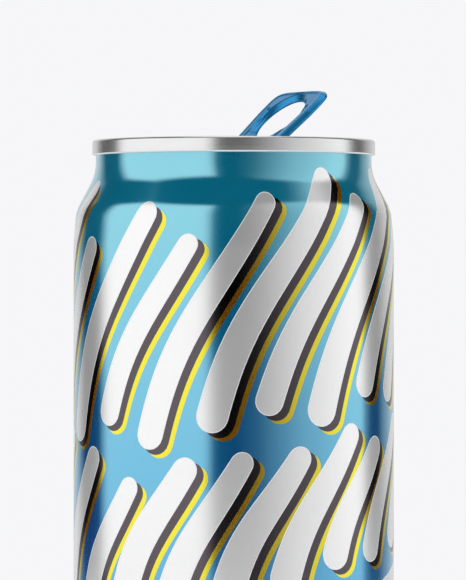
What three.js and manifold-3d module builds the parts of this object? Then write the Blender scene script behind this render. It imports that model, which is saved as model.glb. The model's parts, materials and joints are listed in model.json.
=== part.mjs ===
// Two-piece aluminium drinks can with a stay-on pull tab, raised, and its tear panel pushed open.
// Millimetres, +Z up. The origin is the centre of the circle that the can stands on.
// The mouth is towards -Y, and the tab's finger end, the heel, is towards +Y.
import * as THREE from 'three';
import { mergeVertices } from 'three/addons/utils/BufferGeometryUtils.js';
import Module from 'manifold-3d';

const wasm = await Module();
wasm.setup();

// Whole can
const HEIGHT = 145.5;
const BODY_RADIUS = 28.65;
const SEGMENTS = 40;

// Sheet metal
const WALL = 0.2;
const END_SHEET = 0.2;
const HOOK_SHEET = 0.16;
const LAYER_GAP = 0.04;

// Double seam: five layers, from the outside inwards
const SEAM_RADIUS = 25.3;
const SEAM_DEPTH = 2.75;
const SEAM_WALL_R = SEAM_RADIUS - END_SHEET / 2;
const BODY_HOOK_R = SEAM_RADIUS - END_SHEET - LAYER_GAP - HOOK_SHEET / 2;
const COVER_HOOK_R = BODY_HOOK_R - HOOK_SHEET - LAYER_GAP;
const NECK_R = COVER_HOOK_R - HOOK_SHEET / 2 - LAYER_GAP - WALL / 2;
const CHUCK_TOP_R = NECK_R - WALL / 2 - LAYER_GAP - END_SHEET / 2;
const COMPOUND = { top: HEIGHT - 0.33, height: 0.16, halfWidth: 0.12 };
const BODY_HOOK_TOP = COMPOUND.top - COMPOUND.height - LAYER_GAP - WALL / 2;
const BODY_HOOK_END = HEIGHT - 2.1;
const COVER_HOOK_END = HEIGHT - 0.95;

// Neck and shoulder: a cone between two cylinders
const NECK_CORNER = 6.1;
const SHOULDER_RADIUS = 28.15;
const SHOULDER_CORNER = 12.6;
const SHOULDER_END = 18.5;

// Base
const STAND_INNER_R = 22.5;
const STAND_OUTER_R = 23.2;
const CHIME_TOP = 9.5;
const DOME_EDGE_R = 21.9;
const DOME_EDGE_Z = 2.6;
const DOME_TOP_Z = 9.6;
const DOME_STEPS = 6;

// End panel and countersink
const PANEL_DEPTH = 5.5;
const PANEL_TOP = HEIGHT - PANEL_DEPTH;
const PANEL_R = 21.3;
const COUNTERSINK_INNER_R = 21.55;
const COUNTERSINK_OUTER_R = 22.65;
const COUNTERSINK_BOTTOM = HEIGHT - 7.5;

// Mouth and tear panel
const MOUTH_REAR = { x: 7.6, y: 0.75, fillet: 2.5 };
const MOUTH_SIDE = { x: 10.2, yRear: -6, yFront: -12.5, fillet: 8 };
const MOUTH_FRONT = { x: 6.4, y: -18.9, fillet: 7 };
const FLAP_GAP = 0.35;
const FLAP_HINGE_X = -10;
const FLAP_OPEN = 45.43;

// Pull tab, drawn flat: x across, y along, hinge line at y = 0
const TAB_LIFT = 41.3;
const HINGE_Y = 0;
const HINGE_HEIGHT = 0.9;
const TAB_THICKNESS = 1.2;
const TAB_BEVEL = 0.3;
const TAB_HALF_WIDTH = 8.5;
const TAB_LENGTH = 20.7;
const HEEL_DEPTH = 6.3;
const HEEL_POWER = 0.4;
const SIDE_TAPER = 0.098;
const NOSE_START = 3;
const NOSE_LENGTH = 6.9;
const FINGER_HOLE = { y: 13, halfWidth: 5.05, halfLength: 5.4 };
const WINDOW = { rear: 6.9, front: 0.8, halfWidth: 3.4, fillet: 1.4 };

// Rivet and the tab's flat tongue
const RIVET_Y = 3.75;
const RIVET_HEAD_R = 2.3;
const RIVET_SHANK_R = 1.5;
const ISLAND = { rear: 6.3, front: 1.15, halfWidth: 2.9, fillet: 1.2, bottom: 0.1, thickness: 0.5 };
const RIVET_CLEARANCE = 0.05;
const RIVET_HEAD_THICKNESS = 0.45;

const ARC_STEP = THREE.MathUtils.degToRad(18);
const NECK_ARC_STEP = THREE.MathUtils.degToRad(6);
const HOOK_ARC_STEP = THREE.MathUtils.degToRad(45);
const SAME_POINT = 1e-4;

const aluminium = (color, roughness = 0.3) =>
  new THREE.MeshStandardMaterial({ color, roughness, metalness: 1 });

const point = (x, y, fillet = 0, step = ARC_STEP) => ({ x, y, fillet, step });

// One corner of an outline, rounded by its fillet radius.
function roundCorner(before, corner, after) {
  const at = new THREE.Vector2(corner.x, corner.y);
  if (!corner.fillet) return [at];
  const back = new THREE.Vector2(before.x, before.y).sub(at).normalize();
  const ahead = new THREE.Vector2(after.x, after.y).sub(at).normalize();
  const half = Math.acos(THREE.MathUtils.clamp(back.dot(ahead), -1, 1)) / 2;
  const centre = back.clone().add(ahead).normalize();
  centre.multiplyScalar(corner.fillet / Math.sin(half)).add(at);
  const start = at.clone().addScaledVector(back, corner.fillet / Math.tan(half)).sub(centre);
  const sweep = Math.PI - 2 * half;
  const turn = back.cross(ahead) > 0 ? -sweep : sweep;
  const steps = Math.max(1, Math.round(sweep / corner.step));
  return Array.from({ length: steps + 1 }, (_, i) =>
    start.clone().rotateAround(new THREE.Vector2(), (turn * i) / steps).add(centre));
}

// Two fillets may meet in one point, which is kept once.
const withoutRepeats = (path) =>
  path.filter((at, i) => i === 0 || at.distanceTo(path[i - 1]) > SAME_POINT);

function openPath(points) {
  return withoutRepeats(points.flatMap((corner, i) => {
    const isEnd = i === 0 || i === points.length - 1;
    if (isEnd) return [new THREE.Vector2(corner.x, corner.y)];
    return roundCorner(points[i - 1], corner, points[i + 1]);
  }));
}

function closedPath(points) {
  const count = points.length;
  return points.flatMap((corner, i) =>
    roundCorner(points[(i + count - 1) % count], corner, points[(i + 1) % count]));
}

// The path moved sideways by a distance, with mitred corners; a point on the axis stays on it.
function offsetPath(path, distance) {
  return path.map((at, i) => {
    const before = path[Math.max(i - 1, 0)];
    const after = path[Math.min(i + 1, path.length - 1)];
    const arriving = (i > 0 ? at.clone().sub(before) : after.clone().sub(at)).normalize();
    const leaving = (i < path.length - 1 ? after.clone().sub(at) : arriving.clone()).normalize();
    const across = arriving.clone().add(leaving).normalize();
    const normal = new THREE.Vector2(-across.y, across.x);
    const reach = distance / across.dot(arriving);
    const moved = at.clone().addScaledVector(normal, reach);
    if (at.x === 0) moved.set(0, at.y + distance);
    return moved;
  });
}

// Sheet metal turned about the can's axis: the path is the middle of the sheet, from the axis out.
function spunSheet(path, thickness) {
  const profile = [
    ...offsetPath(path, -thickness / 2),
    ...offsetPath(path, thickness / 2).reverse(),
  ];
  if (path[0].x > 0) profile.push(profile[0].clone());
  return standUp(new THREE.LatheGeometry(profile, SEGMENTS));
}

// Lathe geometry turns about Y; the can's axis is Z.
function standUp(geometry) {
  return geometry.rotateX(Math.PI / 2);
}

function toSolid(geometry) {
  const bare = geometry.clone();
  bare.deleteAttribute('normal');
  bare.deleteAttribute('uv');
  const welded = mergeVertices(bare, 1e-5);
  return new wasm.Manifold(new wasm.Mesh({
    numProp: 3,
    vertProperties: new Float32Array(welded.attributes.position.array),
    triVerts: new Uint32Array(welded.index.array),
  }));
}

function toGeometry(solid) {
  const cut = solid.getMesh();
  const geometry = new THREE.BufferGeometry();
  geometry.setAttribute('position', new THREE.BufferAttribute(cut.vertProperties, 3));
  geometry.setIndex(new THREE.BufferAttribute(cut.triVerts, 1));
  geometry.computeVertexNormals();
  return geometry;
}

function plate(outline, bottom, thickness, holes = []) {
  const shape = new THREE.Shape(outline);
  shape.holes = holes.map((hole) => new THREE.Path(hole));
  const geometry = new THREE.ExtrudeGeometry(shape, { depth: thickness, bevelEnabled: false });
  return geometry.translate(0, 0, bottom);
}

function piece(name, geometry, material) {
  const mesh = new THREE.Mesh(geometry, material);
  mesh.name = name;
  return mesh;
}

// Middle of the body's sheet, from the dome's centre, round the foot and up to the seam.
function bodyPath() {
  const rise = DOME_TOP_Z - DOME_EDGE_Z;
  const domeRadius = (DOME_EDGE_R ** 2 + rise ** 2) / (2 * rise);
  const dome = Array.from({ length: DOME_STEPS }, (_, i) => {
    const r = (DOME_EDGE_R * i) / DOME_STEPS;
    return point(r, DOME_TOP_Z - domeRadius + Math.sqrt(domeRadius ** 2 - r ** 2));
  });
  const middle = WALL / 2;
  return openPath([
    ...dome,
    point(DOME_EDGE_R, DOME_EDGE_Z, 0.8, HOOK_ARC_STEP),
    point(STAND_INNER_R - 0.3, middle, 0.3, HOOK_ARC_STEP),
    point(STAND_OUTER_R + 0.3, middle, 0.5),
    point(STAND_OUTER_R + 1.9, 2.6, 3),
    point(BODY_RADIUS - middle, CHIME_TOP, 6),
    point(BODY_RADIUS - middle, HEIGHT - SHOULDER_END, 15, NECK_ARC_STEP),
    point(SHOULDER_RADIUS - middle, HEIGHT - SHOULDER_CORNER, 7, NECK_ARC_STEP),
    point(NECK_R, HEIGHT - NECK_CORNER, 9, NECK_ARC_STEP),
    point(NECK_R, BODY_HOOK_TOP, (BODY_HOOK_R - NECK_R) / 2, HOOK_ARC_STEP),
    point(BODY_HOOK_R, BODY_HOOK_TOP, (BODY_HOOK_R - NECK_R) / 2, HOOK_ARC_STEP),
    point(BODY_HOOK_R, BODY_HOOK_END),
  ]);
}

// Middle of the end's sheet, from the panel's centre, through the countersink and over the rim.
function endPath() {
  const rim = (SEAM_WALL_R - CHUCK_TOP_R) / 2;
  const hook = (SEAM_WALL_R - COVER_HOOK_R) / 2;
  const middle = END_SHEET / 2;
  return openPath([
    point(0, PANEL_TOP - middle),
    point(PANEL_R, PANEL_TOP - middle, 0.25, HOOK_ARC_STEP),
    point(COUNTERSINK_INNER_R, COUNTERSINK_BOTTOM + middle, 0.4, HOOK_ARC_STEP),
    point(COUNTERSINK_OUTER_R, COUNTERSINK_BOTTOM + middle, 0.4, HOOK_ARC_STEP),
    point(CHUCK_TOP_R, HEIGHT - SEAM_DEPTH, 1.5),
    point(CHUCK_TOP_R, HEIGHT - middle, rim, HOOK_ARC_STEP),
    point(SEAM_WALL_R, HEIGHT - middle, rim, HOOK_ARC_STEP),
    point(SEAM_WALL_R, HEIGHT - SEAM_DEPTH + middle, hook, HOOK_ARC_STEP),
    point(COVER_HOOK_R, HEIGHT - SEAM_DEPTH + middle, hook, HOOK_ARC_STEP),
    point(COVER_HOOK_R, COVER_HOOK_END),
  ]);
}

// Outline of the mouth, pulled in by a gap for the tear panel that closes it.
function mouthOutline(gap = 0) {
  const half = [
    point(MOUTH_FRONT.x, MOUTH_FRONT.y + gap, MOUTH_FRONT.fillet),
    point(MOUTH_SIDE.x - gap, MOUTH_SIDE.yFront, MOUTH_SIDE.fillet),
    point(MOUTH_SIDE.x - gap, MOUTH_SIDE.yRear, MOUTH_SIDE.fillet),
    point(MOUTH_REAR.x - gap, MOUTH_REAR.y - gap, MOUTH_REAR.fillet),
  ];
  const other = half.map((corner) => point(-corner.x, corner.y, corner.fillet)).reverse();
  return closedPath([...half, ...other]);
}

function canEnd() {
  const cutter = plate(mouthOutline(), PANEL_TOP - 1, 2);
  return toGeometry(toSolid(spunSheet(endPath(), END_SHEET)).subtract(toSolid(cutter)));
}

// Soft gasket ring between the end's rim and the body's hook.
function seamCompound() {
  const middle = (CHUCK_TOP_R + SEAM_WALL_R) / 2;
  const height = COMPOUND.top - COMPOUND.height / 2;
  return spunSheet([
    new THREE.Vector2(middle - COMPOUND.halfWidth, height),
    new THREE.Vector2(middle + COMPOUND.halfWidth, height),
  ], COMPOUND.height);
}

function tearPanel() {
  const flap = plate(mouthOutline(FLAP_GAP), -END_SHEET / 2, END_SHEET);
  flap.translate(-FLAP_HINGE_X, 0, 0);
  const mesh = piece('tear_panel', flap, aluminium(0xc4c6c8));
  mesh.position.set(FLAP_HINGE_X, 0, PANEL_TOP - END_SHEET / 2);
  mesh.rotation.y = THREE.MathUtils.degToRad(FLAP_OPEN);
  return mesh;
}

function tabOutline() {
  const heelStart = TAB_LENGTH - HEEL_DEPTH;
  const noseHalfWidth = TAB_HALF_WIDTH - SIDE_TAPER * (heelStart - NOSE_START);
  const outline = [];
  const heelSteps = 20;
  for (let i = 0; i <= heelSteps; i += 1) {
    const turn = (Math.PI * i) / heelSteps;
    const across = Math.sign(Math.cos(turn)) * Math.abs(Math.cos(turn)) ** HEEL_POWER;
    const along = Math.abs(Math.sin(turn)) ** HEEL_POWER;
    outline.push(new THREE.Vector2(TAB_HALF_WIDTH * across, heelStart + HEEL_DEPTH * along));
  }
  const noseSteps = 12;
  for (let i = 0; i <= noseSteps; i += 1) {
    const turn = Math.PI * (1 + i / noseSteps);
    outline.push(new THREE.Vector2(
      noseHalfWidth * Math.cos(turn), NOSE_START + NOSE_LENGTH * Math.sin(turn)));
  }
  return outline;
}

function roundedWindow({ rear, front, halfWidth, fillet }) {
  return closedPath([
    point(-halfWidth, front, fillet),
    point(halfWidth, front, fillet),
    point(halfWidth, rear, fillet),
    point(-halfWidth, rear, fillet),
  ]);
}

function ellipseOutline(y, halfWidth, halfLength, steps = 24) {
  return Array.from({ length: steps }, (_, i) => {
    const turn = (2 * Math.PI * i) / steps;
    return new THREE.Vector2(halfWidth * Math.cos(turn), y + halfLength * Math.sin(turn));
  });
}

function pullTab() {
  const shape = new THREE.Shape(insetOutline(tabOutline(), TAB_BEVEL));
  shape.holes = [
    new THREE.Path(ellipseOutline(
      FINGER_HOLE.y, FINGER_HOLE.halfWidth + TAB_BEVEL, FINGER_HOLE.halfLength + TAB_BEVEL)),
    new THREE.Path(roundedWindow({
      rear: WINDOW.rear + TAB_BEVEL,
      front: WINDOW.front - TAB_BEVEL,
      halfWidth: WINDOW.halfWidth + TAB_BEVEL,
      fillet: WINDOW.fillet,
    })),
  ];
  const geometry = new THREE.ExtrudeGeometry(shape, {
    depth: TAB_THICKNESS - 2 * TAB_BEVEL,
    bevelThickness: TAB_BEVEL,
    bevelSize: TAB_BEVEL,
    bevelSegments: 1,
  });
  geometry.translate(0, 0, TAB_BEVEL - TAB_THICKNESS / 2);
  const mesh = piece('pull_tab', geometry, aluminium(0x2f7fb8));
  mesh.position.set(0, HINGE_Y, PANEL_TOP + HINGE_HEIGHT);
  mesh.rotation.x = THREE.MathUtils.degToRad(TAB_LIFT);
  return mesh;
}

// A closed outline, anticlockwise, moved inwards by a distance.
function insetOutline(outline, distance) {
  const count = outline.length;
  return outline.map((at, i) => {
    const before = outline[(i + count - 1) % count];
    const after = outline[(i + 1) % count];
    const along = after.clone().sub(before).normalize();
    return at.clone().add(new THREE.Vector2(-along.y, along.x).multiplyScalar(distance));
  });
}

function tabIsland() {
  const shankHole = ellipseOutline(
    RIVET_Y, RIVET_SHANK_R + RIVET_CLEARANCE, RIVET_SHANK_R + RIVET_CLEARANCE, SEGMENTS / 2);
  return plate(
    roundedWindow(ISLAND), PANEL_TOP + ISLAND.bottom, ISLAND.thickness, [shankHole]);
}

function rivet() {
  const bottom = RIVET_CLEARANCE;
  const headBottom = ISLAND.bottom + ISLAND.thickness + RIVET_CLEARANCE;
  const headTop = headBottom + RIVET_HEAD_THICKNESS;
  const profile = openPath([
    point(0, bottom),
    point(RIVET_SHANK_R, bottom),
    point(RIVET_SHANK_R, headBottom),
    point(RIVET_HEAD_R, headBottom),
    point(RIVET_HEAD_R, headTop, 0.2, HOOK_ARC_STEP),
    point(0, headTop),
  ]);
  const geometry = standUp(new THREE.LatheGeometry(profile, SEGMENTS / 2));
  return geometry.translate(0, RIVET_Y, PANEL_TOP);
}

const can = new THREE.Group();
can.add(
  piece('can_body', spunSheet(bodyPath(), WALL), aluminium(0x3fa7cf, 0.25)),
  piece('can_end', canEnd(), aluminium(0xc8cacc)),
  piece('seam_compound', seamCompound(), aluminium(0x8a8f86, 0.8)),
  piece('rivet', rivet(), aluminium(0xd0d2d4)),
  piece('tab_island', tabIsland(), aluminium(0x2f7fb8)),
  pullTab(),
  tearPanel(),
);

export default can;
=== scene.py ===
"""Slim drinks can with a raised stay-on tab: the detailed visual model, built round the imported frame.

Shapes are worked out in millimetres and written to the meshes in metres.
"""

import json
import math

import bmesh
import bpy
import numpy as np
from mathutils import Matrix, Vector
from mathutils.geometry import delaunay_2d_cdt


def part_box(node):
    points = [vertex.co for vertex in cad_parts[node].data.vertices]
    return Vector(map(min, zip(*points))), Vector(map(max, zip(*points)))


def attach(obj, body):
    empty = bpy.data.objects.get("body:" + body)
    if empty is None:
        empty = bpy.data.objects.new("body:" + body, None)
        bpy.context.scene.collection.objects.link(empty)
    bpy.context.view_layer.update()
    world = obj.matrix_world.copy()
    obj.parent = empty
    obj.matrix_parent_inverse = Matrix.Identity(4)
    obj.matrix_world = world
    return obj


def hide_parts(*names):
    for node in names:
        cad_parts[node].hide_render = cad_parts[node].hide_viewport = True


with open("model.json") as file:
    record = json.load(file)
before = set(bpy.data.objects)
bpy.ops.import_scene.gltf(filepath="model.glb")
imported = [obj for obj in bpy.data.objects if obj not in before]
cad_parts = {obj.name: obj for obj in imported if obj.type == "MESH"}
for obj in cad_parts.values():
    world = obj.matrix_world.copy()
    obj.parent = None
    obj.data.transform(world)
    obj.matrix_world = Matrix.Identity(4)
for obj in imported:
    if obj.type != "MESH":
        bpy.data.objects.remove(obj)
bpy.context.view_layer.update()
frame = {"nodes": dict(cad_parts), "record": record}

MM = 0.001


def box_mm(node):
    """A node's lowest and highest corners in millimetres."""
    return [[value / MM for value in corner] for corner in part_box(node)]


# Driving dimensions, from the frame
RIM_TOP = box_mm("can_end")[1][2]
SEAM_RADIUS = box_mm("can_end")[1][0]
BODY_RADIUS = box_mm("can_body")[1][0]
JOINTS = {joint["name"]: joint for joint in frame["record"]["behaviour"]["joints"]}
TAB_HINGE = Vector(JOINTS["tab_lift"]["pos_m"]) / MM
FLAP_HINGE = Vector(JOINTS["tear_panel_fold"]["pos_m"]) / MM
TAB_LIFT = -JOINTS["tab_lift"]["range_deg"][0]
FLAP_OPEN = TAB_LIFT * frame["record"]["behaviour"]["couplings"][0]["ratio"]

# Sheet metal, and steps of the turned pieces round the axis
WALL = 0.2
PANEL_TOP = FLAP_HINGE.z + WALL / 2
PANEL_RADIUS = 21.0
SEGMENTS = 192

# Camera, in metres: level, from the tab's right side, close enough for a slight perspective
CAMERA_AZIMUTH = 57.6
CAMERA_DISTANCE = 0.849
CAMERA_BELOW_RIM = 0.0268
CAMERA_SIDESTEP = 0.000125
LENS = 294.3
SENSOR = 36.0


# ---------------- camera

def toward(azimuth):
    """Level unit vector from the can's axis towards a viewer at an azimuth in degrees."""
    turn = math.radians(azimuth)
    return Vector((math.sin(turn), -math.cos(turn), 0))


def make_camera():
    """Long lens on a level line of sight, just below the rim."""
    data = bpy.data.cameras.new("camera")
    data.lens = LENS
    data.sensor_fit = "VERTICAL"
    data.sensor_height = SENSOR
    data.clip_end = 20
    camera = bpy.data.objects.new("camera", data)
    outward = toward(CAMERA_AZIMUTH)
    rightward = toward(CAMERA_AZIMUTH + 90)
    place = outward * CAMERA_DISTANCE - rightward * CAMERA_SIDESTEP
    place.z = RIM_TOP * MM - CAMERA_BELOW_RIM
    facing = outward.to_track_quat("Z", "Y").to_matrix().to_4x4()
    camera.matrix_world = Matrix.Translation(place) @ facing
    bpy.context.collection.objects.link(camera)
    bpy.context.scene.camera = camera


make_camera()


# ---------------- material helpers

class Nodes:
    """Short-hand for building one node tree."""

    def __init__(self, tree):
        self.tree = tree
        self.tree.nodes.clear()

    def add(self, kind, settings=None, **inputs):
        """A new shader node with its settings and inputs; a space in an input's name is written _."""
        node = self.tree.nodes.new("ShaderNode" + kind)
        for key, value in (settings or {}).items():
            setattr(node, key, value)
        for key, value in inputs.items():
            self.feed(node, key.replace("_", " "), value)
        return node

    def feed(self, node, socket, value):
        """Links or sets an input, found by its name or its number."""
        target = node.inputs[int(socket) if socket.isdigit() else socket]
        if isinstance(value, bpy.types.NodeSocket):
            self.tree.links.new(value, target)
        else:
            target.default_value = value

    def math(self, operation, a, b=0.0, clamp=False):
        node = self.add("Math", {"operation": operation, "use_clamp": clamp})
        self.feed(node, "0", a)
        self.feed(node, "1", b)
        return node.outputs[0]

    def ramp(self, factor, stops):
        node = self.add("ValToRGB", Fac=factor)
        elements = node.color_ramp.elements
        while len(elements) > 1:
            elements.remove(elements[-1])
        for index, (place, color) in enumerate(stops):
            element = elements[0] if index == 0 else elements.new(place)
            element.position = place
            rgb = (color,) * 3 if isinstance(color, (int, float)) else color
            element.color = (*rgb, 1)
        return node.outputs[0]

    def tint(self, factor, low, high):
        """A colour that drifts between two over a noise."""
        return self.ramp(factor, [(0.3, low), (0.7, high)])

    def mix(self, factor, a, b, blend="MIX"):
        node = self.add("Mix", {"data_type": "RGBA", "blend_type": blend})
        self.feed(node, "0", factor)
        for socket, color in (("6", a), ("7", b)):
            self.feed(node, socket, color if isinstance(color, bpy.types.NodeSocket) else (*color, 1))
        return node.outputs[2]

    def noise(self, scale, stretch=(1, 1, 1), detail=2.0):
        place = self.add("TexCoord").outputs["Object"]
        mapped = self.add("Mapping", Vector=place, Scale=stretch).outputs[0]
        return self.add("TexNoise", Vector=mapped, Scale=scale, Detail=detail).outputs[0]

    def height(self):
        """Height above the foot, 0 at the foot and 1 at the rim."""
        place = self.add("TexCoord").outputs["Object"]
        z = self.add("SeparateXYZ", Vector=place).outputs["Z"]
        return self.math("DIVIDE", z, RIM_TOP * MM)

    def between(self, factor, low, high):
        """A 0 to 1 value spread over a range."""
        span = self.math("MULTIPLY", factor, high - low)
        return self.math("ADD", span, low)

    def bump(self, height, strength, distance):
        return self.add("Bump", Height=height, Strength=strength, Distance=distance).outputs[0]


def new_material(name):
    """A material with an empty node tree, and the call that shows a shader as its surface."""
    material = bpy.data.materials.new(name)
    material.use_nodes = True
    nodes = Nodes(material.node_tree)

    def show(shader):
        nodes.add("OutputMaterial", Surface=shader)
        return material

    return nodes, show


def surface(name, grain, low, high, roughness, relief=None, patches=None, metallic=1.0, **coat):
    """A Principled material whose colour drifts between two.

    grain is the noise behind its roughness and relief, and its colour too if there are no patches.
    """
    nodes, show = new_material(name)
    fine = nodes.noise(**grain)
    broad = nodes.noise(**patches) if patches else fine
    if isinstance(roughness, tuple):
        roughness = nodes.between(fine, *roughness)
    shader = nodes.add("BsdfPrincipled", Base_Color=nodes.tint(broad, low, high), Metallic=metallic,
                       Roughness=roughness, **coat)
    if relief:
        nodes.feed(shader, "Normal", nodes.bump(fine, *relief))
    return show(shader.outputs[0])


# ---------------- materials

def pigmented(nodes, clear, pigment, share, **shared):
    """Metal seen through clear ink, mixed with the ink's own pigment under the same coat.

    The pigment is what shows where the metal reflects the dark.
    """
    both = nodes.add("MixShader", Fac=share)
    for place, (color, metallic) in enumerate(((clear, 1.0), (pigment, 0.0)), start=1):
        layer = nodes.add("BsdfPrincipled", Base_Color=color, Metallic=metallic, **shared)
        nodes.feed(both, str(place), layer.outputs[0])
    return both.outputs[0]


def ink_blue():
    """Clear cyan ink over a pigment that deepens down the wall, under one strong coat."""
    nodes, show = new_material("ink_blue")
    drift = nodes.between(nodes.noise(26, detail=1), -0.015, 0.015)
    height = nodes.math("ADD", nodes.height(), drift)
    ironing = nodes.noise(900, stretch=(1, 1, 0.02), detail=2)
    clear = nodes.ramp(height, [
        (0.04, (0.005, 0.06, 0.42)),
        (0.28, (0.01, 0.26, 0.68)),
        (0.45, (0.01, 0.55, 0.80)),
        (0.69, (0.01, 0.57, 0.74)),
        (0.91, (0.01, 0.56, 0.65)),
    ])
    pigment = nodes.ramp(height, [
        (0.04, (0.0, 0.015, 0.32)),
        (0.28, (0.0, 0.04, 0.50)),
        (0.50, (0.0, 0.075, 0.62)),
        (0.69, (0.0, 0.235, 0.74)),
        (0.91, (0.0, 0.56, 0.97)),
    ])
    return show(pigmented(
        nodes, clear, pigment, share=0.3,
        Roughness=nodes.between(ironing, 0.12, 0.18), Normal=nodes.bump(ironing, 0.04, 0.00005),
        Coat_Weight=nodes.ramp(height, [(0.1, 0.15), (0.5, 0.59), (0.69, 0.77), (0.91, 1.0)]),
        Coat_Roughness=0.1, Coat_IOR=3.08))


def ink_silver():
    """Opaque pearl white: brighter than the bare metal, with a very fine sparkle."""
    return surface("ink_silver", dict(scale=5200, detail=1), (0.97, 0.97, 0.97), (1.0, 1.0, 1.0),
                   roughness=(0.2, 0.26), metallic=0.7)


def ink_edge():
    """Fine outline of each stroke: the same white, flatter, so it stays light in dark reflections."""
    return surface("ink_edge", dict(scale=5200, detail=1), (0.96, 0.96, 0.96), (1.0, 1.0, 1.0),
                   roughness=(0.3, 0.36), metallic=0.4)


def ink_dark():
    """Glossy dark grey, for the shadow beside each stroke."""
    return surface("ink_dark", dict(scale=4200, detail=1), (0.115, 0.098, 0.112), (0.138, 0.12, 0.134),
                   roughness=(0.1, 0.15))


def ink_yellow():
    """Lemon in the light, with an orange pigment that shows in dark reflections."""
    nodes, show = new_material("ink_yellow")
    grain = nodes.noise(4200, detail=1)
    clear = nodes.tint(grain, (0.98, 0.94, 0.06), (1.0, 0.98, 0.09))
    pigment = nodes.tint(grain, (0.76, 0.16, 0.0), (0.84, 0.2, 0.0))
    return show(pigmented(nodes, clear, pigment, share=0.15, Roughness=nodes.between(grain, 0.1, 0.16)))


def seam_aluminium():
    """The rim: bright metal polished round and round by the seaming rolls."""
    return surface("seam_aluminium", dict(scale=5000, stretch=(0.01, 0.01, 1)),
                   (0.85, 0.85, 0.855), (0.9, 0.9, 0.905),
                   roughness=(0.16, 0.24), relief=(0.05, 0.00002), metallic=0.86)


def rolled_aluminium():
    """Lid stock: satin, with fine straight rolling lines along X."""
    return surface("rolled_aluminium", dict(scale=4200, stretch=(0.012, 1, 1), detail=3),
                   (0.82, 0.82, 0.83), (0.88, 0.88, 0.89), patches=dict(scale=60),
                   roughness=(0.2, 0.32), relief=(0.08, 0.00003), metallic=0.94)


def drawn_aluminium():
    """Unprinted wall metal: bright, with fine lines up the wall."""
    return surface("drawn_aluminium", dict(scale=2400, stretch=(1, 1, 0.02), detail=3),
                   (0.68, 0.69, 0.70), (0.76, 0.77, 0.78),
                   roughness=(0.2, 0.3), relief=(0.06, 0.00003), metallic=0.94)


def tab_blue():
    """Blue lacquered tab stock: a slight orange peel, a little lighter where it has been rubbed."""
    return surface("tab_blue", dict(scale=900, detail=1),
                   (0.012, 0.285, 0.63), (0.018, 0.32, 0.69), patches=dict(scale=200, detail=1),
                   roughness=(0.24, 0.29), relief=(0.02, 0.00002), metallic=0.7,
                   Coat_Weight=0.3, Coat_Roughness=0.1, Coat_IOR=1.45)


def gasket_compound():
    """Matt, slightly grainy rubber."""
    return surface("gasket_compound", dict(scale=700, detail=3), (0.09, 0.10, 0.09), (0.13, 0.14, 0.12),
                   roughness=(0.65, 0.85), relief=(0.2, 0.0002), metallic=0.0)


def pale_floor():
    """Matt, almost white, with very faint clouds."""
    return surface("pale_floor", dict(scale=3, detail=1), (0.86, 0.86, 0.87), (0.88, 0.88, 0.89),
                   roughness=0.85, metallic=0.0)


INK_BLUE = ink_blue()
INK_SILVER = ink_silver()
INK_EDGE = ink_edge()
INK_DARK = ink_dark()
INK_YELLOW = ink_yellow()
SEAM_METAL = seam_aluminium()
LID_METAL = rolled_aluminium()
WALL_METAL = drawn_aluminium()
TAB_BLUE = tab_blue()
COMPOUND = gasket_compound()


# ---------------- studio

# Brightness round the can, as (azimuth in degrees from the camera, positive to its right; brightness)
STUDIO_RING = [
    # wall behind the can, on its left
    (-180, 0.7), (-155, 0.68), (-147, 0.5), (-141, 0.25), (-134, 0.01), (-113, 0.01),
    # wide soft box on the left
    (-107, 0.55), (-102, 1.0), (-22, 1.0), (-18, 0.7), (-14, 0.1),
    # black flag at the lens
    (-10, 0.0), (2, 0.0),
    # graded wall on the right
    (8, 0.03), (15, 0.07), (21, 0.14), (27, 0.24), (39, 0.41), (51, 0.59), (65, 0.71), (79, 0.84),
    (93, 0.98), (104, 0.98), (110, 0.3), (116, 0.03),
    # wall behind the can, on its right
    (127, 0.03), (137, 0.35), (155, 0.65), (180, 0.7),
]
# Top edge of those lights, as (azimuth, elevation), and the degrees that it fades over; above it the
# room is dark up to the overhead box, as (elevation, brightness)
TOP_EDGE = [
    (-180, 62), (-140, 62), (-128, 30), (-106, 30), (-80, 42), (0, 42),
    (20, 48), (80, 48), (104, 30), (132, 30), (145, 62), (180, 62),
]
EDGE_SOFTNESS = 8.0
OVERHEAD = [(64, 0.0), (71, 1.0)]
# Even light on matt surfaces, and what the camera sees behind the can
FILL = 1.0
BACKGROUND = (0.922, 0.922, 0.938)


def angle_place(degrees, half_span):
    """Where an angle lies on a ramp that runs from minus to plus half its span."""
    return (degrees + half_span) / (2 * half_span)


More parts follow.
